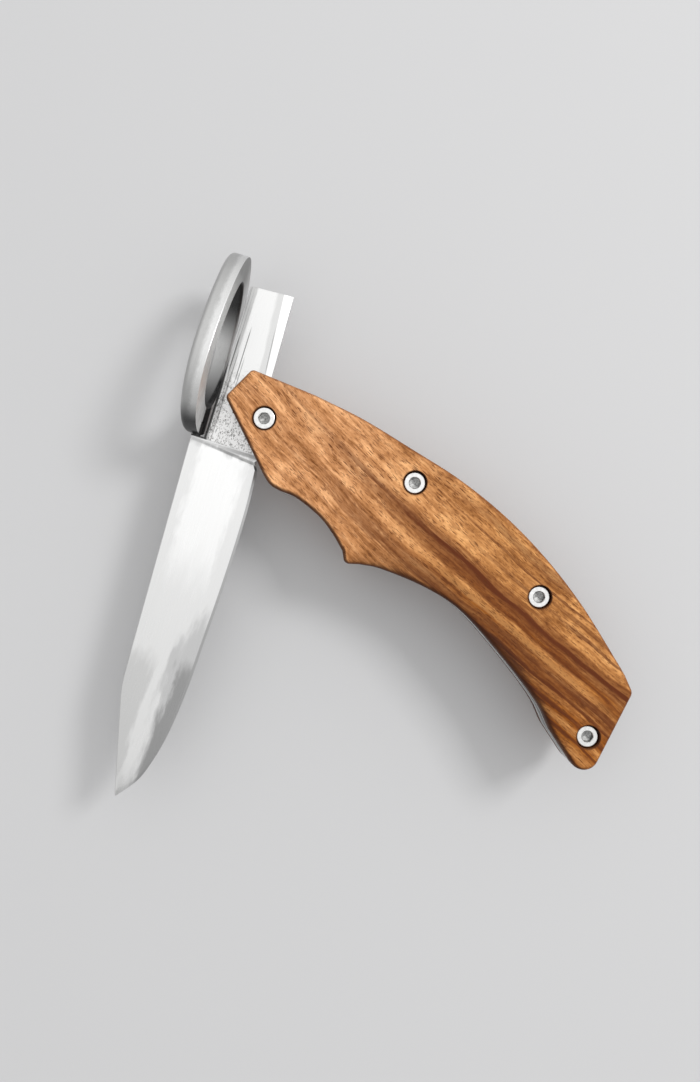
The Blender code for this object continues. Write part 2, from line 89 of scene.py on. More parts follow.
LINER_BREAK = 0.1
BORE_LIP = 0.12

# Screws, their sockets and the tubes on them
SCREW_SHARES = {"front": (0.375, -0.068), "middle": (0.727, -0.364), "butt": (0.929, -0.853)}
HEAD_RADIUS = 2.25
HEAD_HEIGHT = 1.6
HEAD_RIM = 0.24
HEAD_FOOT_BREAK = 0.08
SHANK_RADIUS = 1.1
SHANK_CHAMFER = 0.15
TIP_GAP = 0.5
BODY_RECESS = 0.8
PIVOT_RECESS = 0.15
SOCKET_FLATS = 2.2
SOCKET_DEPTH = 1.1
SOCKET_TURN_DEG = 11
SOCKET_CHAMFER = 0.14
DRILL_RADIUS = 0.95
DRILL_POINT = 0.4
STANDOFF_RADIUS = 2.2
BARREL_RADIUS = 2.5
TUBE_BREAK = 0.2
WASHER_RADIUS = 4.5
SHANK_BORE = SHANK_RADIUS + BORE_GAP
BARREL_BORE = BARREL_RADIUS + BORE_GAP
WASHER_BREAK = 0.05

# Tang: a lobe round the pivot, and a long bar with bevels
LOBE_RADIUS = 6.3
LOBE_START_DEG = -72
LOBE_TURN_DEG = 134
TANG_LEFT = -11.7
TANG_END = 27.0
TANG_END_DROP = 0.5
TANG_END_WIDTH = 9.3
TANG_ROOT_WIDTH = 9.9
TANG_ROOT = 8.8
TANG_BEVEL_SLOPE = 0.22
SPINE_BEVEL_WIDTHS = (1.6, 1.6)
FRONT_BEVEL_WIDTHS = (1.2, 2.0)
TANG_EDGE_BREAK = 0.1
BLADE_BORE_CHAMFER = 0.15

# Ring, and the notch, post and ledge that hold it
RING_LEAN = math.radians(1.1)
RING_FOOT_GAP = 1.3
RING_FOOT = -6.8
RING_LENGTH = 39.3
RING_HEIGHT = 26.59
RING_FOOT_THICKNESS = 3.5
RING_END_THICKNESS = 4.1
RING_SWELL = 0.3
RING_FOOT_DEPTH = 6.3
HOLE_LENGTH = 27.2
HOLE_HEIGHT = 16.2
RING_EDGE_ROUND = 1.1
RING_EDGE_BREAK = 0.15
HOLE_CHAMFER = 0.8
HOLE_BACK_CHAMFER = 0.4
NOTCH_DEPTH = 1.6
NOTCH_HEIGHT = 2.8
LEDGE_HEIGHT = 0.4
LEDGE_LIP = 0.2
POST_DEPTH = NOTCH_DEPTH - BORE_GAP
LEDGE_TOP = RING_FOOT - BORE_GAP

# Blade, in shares of its length and width from the shoulder's spine end
SHOULDER = LEDGE_TOP - LEDGE_HEIGHT
SPINE_LEFT = TANG_LEFT - RING_FOOT_GAP - POST_DEPTH - LEDGE_LIP
BLADE_LENGTH = 78.4
BLADE_WIDTH = 16.2
SPINE_SHARES = ((0.000, 0.000), (0.705, 0.099), (1.000, 0.448))
SPINE_BEND_RADIUS = 26.0
EDGE_HEEL_SHARES = ((0.020, 0.901), (0.040, 0.963))
EDGE_SHARES = (
    (0.148, 0.994), (0.265, 1.000), (0.390, 0.990), (0.509, 0.969), (0.671, 0.937), (0.800, 0.868),
    (0.889, 0.766), (0.945, 0.654), (1.000, 0.448),
)
PLUNGE_LENGTH = 0.8
# What the spine keeps of its half thickness past the plunge and at the tip
PLUNGE_SHARE = 0.94
TIP_SHARE = 0.45
SPINE_BREAK = 0.12
SPINE_BREAK_WIDTH = 0.14
EDGE_BEVEL_WIDTH = 0.55
EDGE_BEVEL_SHARE = 1 / 2.2
EDGE_BEVEL_HALF = 0.24
EDGE_HALF = 0.04
# The grind's crown at the shoulder, and its growth up to that share of the length
CROWN = 0.07
CROWN_GROWTH = 0.20
CROWN_FULL_SHARE = 0.6

# Cutters reach this far past what they cut
PAST = 1.0

# Fineness
CURVE_STEPS = 14
CORNER_STEPS = 12
ROUND_SIDES = 72
EDGE_STEPS = 9
RIM_STEPS = 5
LOBE_STEPS = 40
RING_STATIONS = 220
RING_BREAK_STEPS = 3
HOLE_STEPS = 6
HOLE_BACK_STEPS = 4
BLADE_STATIONS = 150
PLUNGE_STEPS = 7
GRIND_STEPS = 8

# Wood: the grain's slope across the handle, and how much steeper it is by the nose
GRAIN_SLOPE = 0.43
GRAIN_FAN = 0.17
WOOD_TONES = (
    (0.375, (0.220, 0.070, 0.014)),
    (0.440, (0.380, 0.155, 0.050)),
    (0.485, (0.560, 0.252, 0.098)),
    (0.520, (0.680, 0.325, 0.138)),
    (0.570, (0.900, 0.475, 0.220)),
)
# Dark stripes: place across the grain, half width, start along it, and strength
WOOD_STRIPES = (
    (9.6, 2.0, 22.0, 0.50),
    (9.3, 0.60, 12.0, 1.0),
    (9.4, 0.40, 60.0, 0.7),
    (-0.6, 0.9, 12.0, 0.20),
    (7.7, 1.7, 6.0, 0.46),
    (1.4, 2.0, 8.0, 0.50),
    (0.4, 0.45, 40.0, 0.85),
    (2.9, 0.95, 68.0, 0.75),
    (6.2, 0.45, 40.0, 0.40),
    (14.0, 0.40, 48.0, 0.75),
    (15.7, 0.40, 66.0, 0.75),
    (17.3, 0.30, 35.0, 0.7),
    (20.4, 1.3, 34.0, 0.55),
    (-2.4, 0.60, 52.0, 0.9),
    (-5.4, 0.45, 58.0, 0.8),
)
# The circle that the belly's curve is close to
BELLY_CENTRE = (31.1, -79.6)
BELLY_RADIUS = 56.8
# Deep scores beside the ring: place from the tang's spine side, low and high end, strength
TANG_SCORES = ((0.8, 7.0, 16.5, 0.9), (2.7, 5.5, 18.5, 0.85), (1.6, -4.0, 13.0, 0.5), (3.2, 1.0, 12.0, 0.5))

# Stage: the photograph's height and focal length in pixels, and a camera straight above
PHOTO_HEIGHT = 1082
FOCAL_LENGTH = 849.3
SENSOR_HEIGHT = 36
CAMERA_PLACE = (24.45, -18.9, 181.5)
CAMERA_TURN_DEG = 17.326
KEY_PLACE = (450, 430, 600)
KEY_TARGET = (30, -20, 0)
KEY_SIZE = 0.22
KEY_WATTS = 3.0
FLOOR_SIZE = 1.5
FLOOR_COLOUR = (0.60, 0.60, 0.605)
# The world's level, from its dimmest direction to its brightest
BRIGHTEST_WAY = (-0.04, 0.52, 0.85)
WORLD_LEVELS = ((0.20, 0.42), (0.50, 0.56), (0.70, 0.64), (0.78, 0.84), (0.88, 0.91), (0.94, 1.09), (1.00, 1.16))

ORIGIN = Vector((0, 0))


# Plane curves


def smooth_through(points):
    """A smooth open curve through the points, both ends included."""
    padded = [2 * points[0] - points[1], *points, 2 * points[-1] - points[-2]]
    curve = []
    for index in range(1, len(padded) - 2):
        before, start, end, after = padded[index - 1 : index + 3]
        for step in range(CURVE_STEPS):
            share = step / CURVE_STEPS
            curve.append(
                start
                + share * (end - before) / 2
                + share**2 * (before - 5 * start / 2 + 2 * end - after / 2)
                + share**3 * (3 * (start - end) + after - before) / 2
            )
    curve.append(points[-1])
    return curve


def rounded(before, corner, after, radius):
    """The arc of that radius that replaces a corner between two straight stretches."""
    back = (before - corner).normalized()
    ahead = (after - corner).normalized()
    half_angle = back.angle(ahead) / 2
    reach = radius / math.tan(half_angle)
    centre = corner + (back + ahead).normalized() * (radius / math.sin(half_angle))
    start = corner + back * reach - centre
    turn = start.angle_signed(corner + ahead * reach - centre)
    arc = []
    for step in range(CORNER_STEPS + 1):
        angle = -turn * step / CORNER_STEPS
        cosine, sine = math.cos(angle), math.sin(angle)
        arc.append(centre + Vector((start.x * cosine - start.y * sine, start.x * sine + start.y * cosine)))
    return arc


def inset(outline, distance):
    """The closed outline moved inwards; it runs anticlockwise."""
    moved = []
    for index, point in enumerate(outline):
        before = (point - outline[index - 1]).normalized()
        after = (outline[(index + 1) % len(outline)] - point).normalized()
        inward_before = Vector((-before.y, before.x))
        inward_after = Vector((-after.y, after.x))
        spread = 1 + inward_before.dot(inward_after)
        moved.append(point + distance * (inward_before + inward_after) / spread)
    return moved


def on_handle(share):
    return Vector((share[0] * HANDLE_REACH, share[1] * HANDLE_DROP))


def handle_outline():
    nose_low, nose_high = on_handle(NOSE_LOW_SHARE), on_handle(NOSE_HIGH_SHARE)
    heel, toe = on_handle(BUTT_HEEL_SHARE), on_handle(BUTT_TOE_SHARE)
    guard = on_handle(GUARD_SHARE)
    back = smooth_through([on_handle(share) for share in BACK_SHARES])
    belly = smooth_through([on_handle(share) for share in BELLY_SHARES])
    recess = smooth_through([on_handle(share) for share in RECESS_SHARES])
    clockwise = [
        *rounded(recess[-1], nose_low, nose_high, NOSE_ROUND),
        *rounded(nose_low, nose_high, back[0], NOSE_ROUND),
        *back,
        *rounded(back[-1], heel, toe, HEEL_ROUND),
        *rounded(heel, toe, belly[0], TOE_ROUND),
        *belly,
        *rounded(belly[-1], guard, recess[0], GUARD_ROUND),
        *recess,
    ]
    return clockwise[::-1]


def screw_places():
    return {where: on_handle(share) for where, share in SCREW_SHARES.items()}


def on_ring(along, depth):
    """A place in the ring's side view, from its foot upwards and from its front face back."""
    foot = Vector((TANG_LEFT - RING_FOOT_GAP, RING_FOOT))
    up = Vector((-math.sin(RING_LEAN), math.cos(RING_LEAN)))
    behind = Vector((-math.cos(RING_LEAN), -math.sin(RING_LEAN)))
    return foot + along * up + depth * behind


def egg(angle, foot, length, height):
    along = foot + length / 2 * (1 + math.cos(angle))
    return along, height / 2 * math.sin(angle) * math.exp(-RING_SWELL * math.cos(angle))


def on_blade(share):
    return Vector((SPINE_LEFT + share[1] * BLADE_WIDTH, SHOULDER - share[0] * BLADE_LENGTH))


def along_curve(points, share):
    """The point at that share of an open curve's length."""
    lengths = [(end - start).length for start, end in zip(points, points[1:])]
    left = share * sum(lengths)
    for start, end, length in zip(points, points[1:], lengths):
        if left <= length:
            return start.lerp(end, left / length)
        left -= length
    return points[-1]


def quarter_turn(steps):
    """The sines and cosines of even steps from 0 to 90 degrees."""
    angles = [math.pi / 2 * step / steps for step in range(steps + 1)]
    return [(math.sin(angle), math.cos(angle)) for angle in angles]


# Solids, in millimetres


def bridge(shape, rings, ends_open=False):
    """Walls between rings of corners, and a face at each end."""
    for lower, upper in zip(rings, rings[1:]):
        for index in range(len(lower)):
            following = (index + 1) % len(lower)
            shape.faces.new((lower[index], lower[following], upper[following], upper[index]))
    if not ends_open:
        shape.faces.new(rings[0][::-1])
        shape.faces.new(rings[-1])


def add_stack(shape, layers):
    """Walls up through outlines that each have a height of their own."""
    bridge(shape, [[shape.verts.new((p.x, p.y, height)) for p in outline] for outline, height in layers])


def add_turned(shape, profile, centre=ORIGIN, bored=False):
    """A profile of radii and heights turned round an axis; a bored one closes on itself."""
    rings = []
    for radius, height in profile:
        ring = []
        for side in range(ROUND_SIDES):
            angle = 2 * math.pi * side / ROUND_SIDES
            x = centre.x + radius * math.cos(angle)
            ring.append(shape.verts.new((x, centre.y + radius * math.sin(angle), height)))
        rings.append(ring)
    if bored:
        rings.append(rings[0])
    bridge(shape, rings, ends_open=bored)


def mirrored(shape):
    for vert in shape.verts:
        vert.co.z = -vert.co.z
    bmesh.ops.reverse_faces(shape, faces=shape.faces[:])
    return shape


def add_object(name, data, place):
    made = bpy.data.objects.new(name, data)
    made.location = place
    bpy.context.scene.collection.objects.link(made)
    return made


def as_object(name, shape, place=ORIGIN):
    """A closed shape as an object in metres, its origin on its own axis."""
    bmesh.ops.recalc_face_normals(shape, faces=shape.faces[:])
    for vert in shape.verts:
        vert.co *= MM
    mesh = bpy.data.meshes.new(name)
    shape.to_mesh(mesh)
    shape.free()
    made = add_object(name, mesh, PIVOT + Vector((place.x, place.y, 0)) * MM)
    bpy.context.view_layer.update()
    return made


def bake(made):
    """Gives an object the mesh that its modifiers make."""
    bpy.context.view_layer.update()
    source = made.evaluated_get(bpy.context.evaluated_depsgraph_get())
    mesh = bpy.data.meshes.new_from_object(source)
    mesh.name = made.name
    made.modifiers.clear()
    made.data = mesh


def cut(made, shapes):
    """Takes closed shapes out of an object."""
    cutters = []
    for shape in shapes:
        cutter = as_object("cutter", shape)
        cutter.location = made.location
        modifier = made.modifiers.new("cut", "BOOLEAN")
        modifier.operation = "DIFFERENCE"
        modifier.solver = "EXACT"
        modifier.object = cutter
        cutters.append(cutter)
    bake(made)
    for cutter in cutters:
        bpy.data.objects.remove(cutter, do_unlink=True)


def finish_piece(made, node, body, material, sharp_deg=30, second=None):
    """Shades a piece, dresses it, and has it ride with its body in place of its CAD node.

    The second material, if given, goes on the faces whose centres pass its test.
    """
    mesh = made.data
    mesh.shade_smooth()
    mesh.set_sharp_from_angle(angle=math.radians(sharp_deg))
    modifier = made.modifiers.new("normals", "WEIGHTED_NORMAL")
    modifier.keep_sharp = True
    bake(made)
    made.data.materials.clear()
    made.data.materials.append(material)
    if second:
        inside, other = second
        made.data.materials.append(other)
        for polygon in made.data.polygons:
            polygon.material_index = int(inside(polygon.center / MM))
    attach(made, body)
    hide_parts(node)


# Node materials


def grey(level):
    return level, level, level


def warm(level):
    """A metal's grey, a trace yellower than neutral."""
    return level, level, level - 0.005


class Graph:
    """A short way to write a node tree; values are numbers or sockets."""

    def __init__(self, owner):
        owner.use_nodes = True
        self.owner = owner
        self.tree = owner.node_tree
        self.coordinates = self.node("ShaderNodeTexCoord").outputs

    def node(self, kind, *values, **settings):
        """A new node; the values go to its first inputs."""
        made = self.tree.nodes.new(kind)
        for key, setting in settings.items():
            setattr(made, key, setting)
        for socket, value in zip(made.inputs, values):
            self.feed(socket, value)
        return made

    def feed(self, socket, value):
        if isinstance(value, bpy.types.NodeSocket):
            self.tree.links.new(value, socket)
        elif socket.type == "RGBA":
            socket.default_value = (*value, 1)
        else:
            socket.default_value = value

    def math(self, operation, *values, clamp=False):
        return self.node("ShaderNodeMath", *values, operation=operation, use_clamp=clamp).outputs[0]

    def minus(self, first, second):
        return self.math("SUBTRACT", first, second)

    def smooth_min(self, value, limit, reach):
        return self.math("SMOOTH_MIN", value, limit, reach)

    def off(self, value, place):
        """How far a value is from a place, either way."""
        return self.math("ABSOLUTE", self.minus(value, place))

    def product(self, *values):
        result = values[0]
        for value in values[1:]:
            result = self.math("MULTIPLY", result, value)
        return result

    def total(self, *values, clamp=False):
        result = values[0]
        for value in values[1:-1]:
            result = self.math("ADD", result, value)
        return self.math("ADD", result, values[-1], clamp=clamp)

    def span(self, value, low, high, to_low=0.0, to_high=1.0, smooth=False):
        """From to_low at low to to_high at high, and level beyond."""
        kind = "SMOOTHSTEP" if smooth else "LINEAR"
        made = self.node("ShaderNodeMapRange", value, low, high, to_low, to_high, interpolation_type=kind)
        return made.outputs["Result"]

    def fall(self, value, low, high, most=1.0, smooth=False):
        return self.span(value, low, high, most, 0.0, smooth)

    def sway(self, noise, low, high):
        """A noise's usual range stretched from low to high."""
        return self.span(noise, 0.3, 0.7, low, high)

    def split(self, vector):
        return tuple(self.node("ShaderNodeSeparateXYZ", vector).outputs)

    def join(self, x, y, z):
        return self.node("ShaderNodeCombineXYZ", x, y, z).outputs[0]

    def distance(self, vector, place):
        return self.node("ShaderNodeVectorMath", vector, (*place, 0), operation="DISTANCE").outputs["Value"]

    def mapped(self, vector, stretch=(1, 1, 1), shift=(0, 0, 0), turn_deg=0.0):
        turn = (0, 0, math.radians(turn_deg))
        return self.node("ShaderNodeMapping", vector, shift, turn, stretch).outputs["Vector"]

    def in_millimetres(self):
        return self.mapped(self.coordinates["Object"], (1 / MM, 1 / MM, 1 / MM))

    def facing(self):
        """The three parts of the surface's direction."""
        return self.split(self.coordinates["Normal"])

    def noise(self, vector, stretch, detail=2.0, roughness=0.5, shift=(0, 0, 0), turn_deg=0.0):
        made = self.node("ShaderNodeTexNoise", self.mapped(vector, stretch, shift, turn_deg))
        for key, value in (("Scale", 1.0), ("Detail", detail), ("Roughness", roughness)):
            made.inputs[key].default_value = value
        return made.outputs["Fac"]

    def cells(self, vector, stretch):
        """The distance to the nearest scattered point, and that point's random colour."""
        made = self.node("ShaderNodeTexVoronoi", self.mapped(vector, stretch))
        made.inputs["Scale"].default_value = 1.0
        return made.outputs["Distance"], made.outputs["Color"]

    def mix(self, share, first, second, blend="MIX"):
        made = self.node("ShaderNodeMix", share, data_type="RGBA", blend_type=blend)
        self.feed(made.inputs[6], first)
        self.feed(made.inputs[7], second)
        return made.outputs[2]

    def ramp(self, value, stops):
        made = self.node("ShaderNodeValToRGB", value)
        elements = made.color_ramp.elements
        while len(elements) < len(stops):
            elements.new(0.5)
        for element, (place, colour) in zip(elements, stops):
            element.position = place
            element.color = (*colour, 1)
        return made.outputs["Color"]

    def bump(self, height, strength, depth_mm, under=None):
        made = self.node("ShaderNodeBump")
        made.inputs["Strength"].default_value = strength
        made.inputs["Distance"].default_value = depth_mm * MM
        self.feed(made.inputs["Height"], height)
        if under is not None:
            self.feed(made.inputs["Normal"], under)
        return made.outputs["Normal"]

    def dress(self, colour, roughness, normal=None, **constants):
        """Finishes the material; the constants are set on the shader's own sockets."""
        shader = self.tree.nodes["Principled BSDF"]
        self.feed(shader.inputs["Base Color"], colour)
        self.feed(shader.inputs["Roughness"], roughness)
        if normal is not None:
            self.feed(shader.inputs["Normal"], normal)
        for key, value in constants.items():
            shader.inputs[key.replace("_", " ")].default_value = value
        return self.owner


def wood_material(name, seed):
    """Tan to reddish-brown wood. Its grain runs down the handle and fans, with dark stripes and pores."""
    g = Graph(bpy.data.materials.new(name))
    x, y, z = g.split(g.in_millimetres())
    fan = g.product(g.smooth_min(x, 28.0, 16.0), GRAIN_FAN)
    across = g.total(y, g.product(x, GRAIN_SLOPE), fan)
    along = g.minus(x, g.product(y, GRAIN_SLOPE))
    drift = g.noise(g.join(along, across, z), (0.045, 0.09, 0.09), shift=(seed, 0, 0))
    across = g.total(across, g.product(g.minus(drift, 0.5), 3.2))
    grain = g.mapped(g.join(along, across, z), shift=(seed, seed * 0.7, seed * 0.3))

    # the plain figure
    blotches = g.noise(grain, (0.13, 0.30, 0.25), 4, 0.62)
    mottle = g.noise(grain, (0.50, 1.3, 1.0), 3, 0.6, shift=(5, 2, 6))
    bands = g.noise(grain, (0.012, 0.42, 0.2), 3, 0.55, shift=(7, 3, 1))
    streaks = g.noise(grain, (0.07, 1.5, 0.9), 4, 0.65, shift=(1, 9, 4))
    fibres = g.noise(grain, (0.30, 6.5, 4.0), 3, 0.6)
    layers = ((blotches, 0.30), (bands, 0.20), (streaks, 0.20), (mottle, 0.18), (fibres, 0.12))
    colour = g.ramp(g.total(*[g.product(layer, share) for layer, share in layers]), WOOD_TONES)

    # darker and redder towards the butt, most of all on the belly's side
    rear = g.span(x, 12.0, 62.0, smooth=True)
    belly_side = g.span(across, 5.0, 15.0, 1.0, 0.3, smooth=True)
    broad = g.noise(grain, (0.012, 0.24, 0.15), 3, 0.6, shift=(11, 4, 2))
    uneven = g.span(g.total(broad, bands), 0.84, 1.16, 1.0, 0.40, smooth=True)
    deepened = g.mix(1.0, colour, (0.40, 0.235, 0.02), "MULTIPLY")
    colour = g.mix(g.product(rear, belly_side, uneven), colour, deepened)
    colour = g.mix(rear, colour, (1.0, 0.98, 0.76), "MULTIPLY")

    # a light band low on the rear half, between dark ones
    light = g.fall(g.off(across, 4.5), 0.4, 1.0, 0.6, smooth=True)
    light = g.product(light, g.span(along, 44.0, 58.0), g.fall(along, 90.0, 104.0))
    colour = g.mix(light, colour, (0.540, 0.250, 0.078))

    # the long dark stripes, each fading in over 30 mm
    broken = g.span(blotches, 0.36, 0.50, 0.60, 1.0)
    for place, width, start, strength in WOOD_STRIPES:
        ragged = g.total(g.off(across, place), g.sway(streaks, -0.5 * width, 0.5 * width))
        stripe = g.fall(ragged, 0.5 * width, 1.15 * width, smooth=True)
        reach = g.span(along, start, start + 30.0, 0.25, 1.0, smooth=True)
        colour = g.mix(g.product(stripe, reach, broken, strength), colour, (0.110, 0.022, 0.002))

    # open pores: fine dashes along the grain, of two sizes
    distance, chance = g.cells(grain, (0.38, 3.9, 2.4))
    dash = g.fall(g.total(distance, g.sway(fibres, 0.08, -0.11)), 0.26, 0.33)
    keep = g.span(g.split(chance)[0], 0.50, 0.54)
    crowd = g.span(g.noise(grain, (0.06, 0.30, 0.2), shift=(3, 8, 1)), 0.40, 0.60, 0.45, 1.0)
    fine_distance, fine_chance = g.cells(grain, (0.85, 5.6, 4.0))
    fine_keep = g.span(g.split(fine_chance)[1], 0.62, 0.70, 0.0, 0.85)
    fine_dash = g.product(g.fall(fine_distance, 0.26, 0.36), fine_keep)
    pores = g.math("MAXIMUM", g.product(dash, keep, crowd), fine_dash)
    colour = g.mix(g.product(pores, 0.88), colour, (0.105, 0.026, 0.004))

    # the counterbores' walls are dark end grain, deepened to near black as painted shade in the recesses
    plan = g.join(x, y, 0.0)
    wall = HEAD_RADIUS + HEAD_GAP
    for place in (ORIGIN, *screw_places().values()):
        in_bore = g.fall(g.distance(plan, place), wall, wall + 0.3, 0.8)
        colour = g.mix(in_bore, colour, (0.060, 0.020, 0.006))

    # painted shade: rounded edges darker, most of all along the belly
    normal_x, normal_y, normal_z = g.facing()
    level = g.total(g.math("ABSOLUTE", normal_z), g.sway(mottle, -0.08, 0.08))
    colour = g.mix(g.fall(level, 0.45, 0.95, 0.62), colour, (0.150, 0.042, 0.008))
    # painted shade near the belly's edge, and on faces turned away from the light
    inwards = g.minus(g.distance(plan, BELLY_CENTRE), BELLY_RADIUS)
    inwards = g.total(inwards, g.sway(streaks, -0.6, 0.6))
    near, further = g.fall(inwards, 0.3, 2.4, 0.80, smooth=True), g.fall(inwards, 0.0, 5.5, 0.42)
    belly_shade = g.product(g.math("MAXIMUM", near, further), g.span(x, 24.0, 34.0))
    below = g.fall(g.total(normal_x, normal_y), -0.9, -0.2, 0.78)
    colour = g.mix(g.math("MAXIMUM", belly_shade, below), colour, (0.030, 0.006, 0.001))

    roughness = g.total(g.sway(fibres, 0.40, 0.54), g.product(pores, 0.22), clamp=True)
    height = g.minus(g.product(fibres, 0.35), pores)
    return g.dress(colour, roughness, g.bump(height, 0.45, 0.08), Specular_IOR_Level=0.16)


def liner_material():
    """Ground steel: fine lines one way, with a slow change of tone and of shine."""
    g = Graph(bpy.data.materials.new("liner_steel"))
    millimetres = g.in_millimetres()
    turned = g.mapped(millimetres, turn_deg=31)
    lines = g.noise(turned, (0.09, 1 / 0.06, 1 / 0.06), 3, 0.65)
    coarse = g.noise(turned, (0.05, 2.2, 2.2))
    clouds = g.noise(millimetres, (0.16, 0.16, 0.16), 3, 0.55)
    colour = g.mix(g.sway(clouds, 0.0, 1.0), grey(0.5704), grey(0.62))
    colour = g.mix(g.span(lines, 0.35, 0.7, 0.0, 0.16), colour, grey(0.4464))
    shine = g.total(g.sway(clouds, 0.33, 0.40), g.sway(lines, -0.04, 0.05))
    return g.dress(colour, shine, g.bump(g.total(lines, g.product(coarse, 0.5)), 0.6, 0.004), Metallic=1.0)


def ring_material():
    """The ring's steel with grinding marks; its bright band, grey flat faces and a bore dark at its ends are
    painted highlight and shade.
    """
    g = Graph(bpy.data.materials.new("ring_steel"))
    millimetres = g.in_millimetres()
    x, y, z = g.split(millimetres)
    facing = g.facing()[0]
    flat = g.span(g.math("ABSOLUTE", facing), 0.80, 0.97, smooth=True)
    lines = g.noise(millimetres, (9, 0.12, 9), 3, 0.65)
    scuffs = g.noise(millimetres, (1.2, 0.5, 1.2), 4, 0.6)
    lean = g.product(y, math.sin(RING_LEAN))
    depth = g.minus(TANG_LEFT - RING_FOOT_GAP, g.total(x, lean))

    # the band round the outside: a painted highlight by the front face, and painted shade at the foot
    uneven = g.total(depth, g.sway(scuffs, -0.25, 0.25))
    band = g.mix(g.span(uneven, 1.0, 2.2, smooth=True), warm(0.77), warm(0.53))
    band = g.mix(g.fall(y, RING_FOOT + 1.5, RING_FOOT + 5.5, smooth=True), band, grey(0.07))

    # the flat faces, in painted light and shade: light at the foot, darkest at the end, and lighter on the far
    # half
    face = g.mix(g.span(y, 1.0, 8.0, smooth=True), warm(0.93), warm(0.56))
    face = g.mix(g.span(y, 13.0, 21.0, smooth=True), face, warm(0.42))
    face = g.mix(g.span(y, 26.0, 28.0, smooth=True), face, warm(0.28))
    face = g.mix(g.fall(z, -6.0, -1.0, 0.65), face, warm(0.93))
    face = g.mix(g.sway(scuffs, 0.25, 0.0), face, warm(0.30))
    colour = g.mix(flat, band, face)

    # the bore: painted shade at both ends, and where the tang shades it
    across = g.math("DIVIDE", z, HOLE_HEIGHT / 2)
    hole_middle = RING_FOOT + RING_FOOT_DEPTH + HOLE_LENGTH / 2
    up = g.math("DIVIDE", g.minus(y, hole_middle), HOLE_LENGTH / 2)
    from_middle = g.total(g.product(across, across), g.product(up, up))
    in_bore = g.product(g.fall(from_middle, 1.45, 1.60), g.minus(1.0, flat))
    bore = g.mix(g.span(up, 0.05, 0.75, smooth=True), warm(0.66), grey(0.05))
    bore = g.mix(g.fall(up, -0.85, 0.20, 0.95, smooth=True), bore, grey(0.07))
    past_shade = g.minus(depth, g.span(y, 2.0, 9.0, 1.25, 0.75))
    in_shade = g.product(g.fall(past_shade, 0.0, 0.3), g.fall(z, -5.0, -4.0), g.fall(y, 6.5, 9.5))
    colour = g.mix(in_bore, colour, g.mix(in_shade, bore, grey(0.02)))

    # painted shade on the strip of the front face that shows through the gap beside the tang
    shade_strip = g.product(g.fall(z, 0.8, 1.2), g.span(z, -4.8, -3.8), g.fall(y, 8.0, 12.0))
    colour = g.mix(g.product(shade_strip, g.span(facing, 0.2, 0.6)), colour, grey(0.02))
    colour = g.mix(g.span(lines, 0.40, 0.72, 0.0, 0.22), colour, warm(0.30))

    duller = g.product(flat, g.span(y, 0.0, 6.0, 0.36, 0.08))
    shine = g.total(g.sway(scuffs, 0.30, 0.38), duller, g.sway(lines, -0.03, 0.05))
    return g.dress(colour, shine, g.bump(g.total(lines, scuffs), 0.5, 0.008), Metallic=1.0)


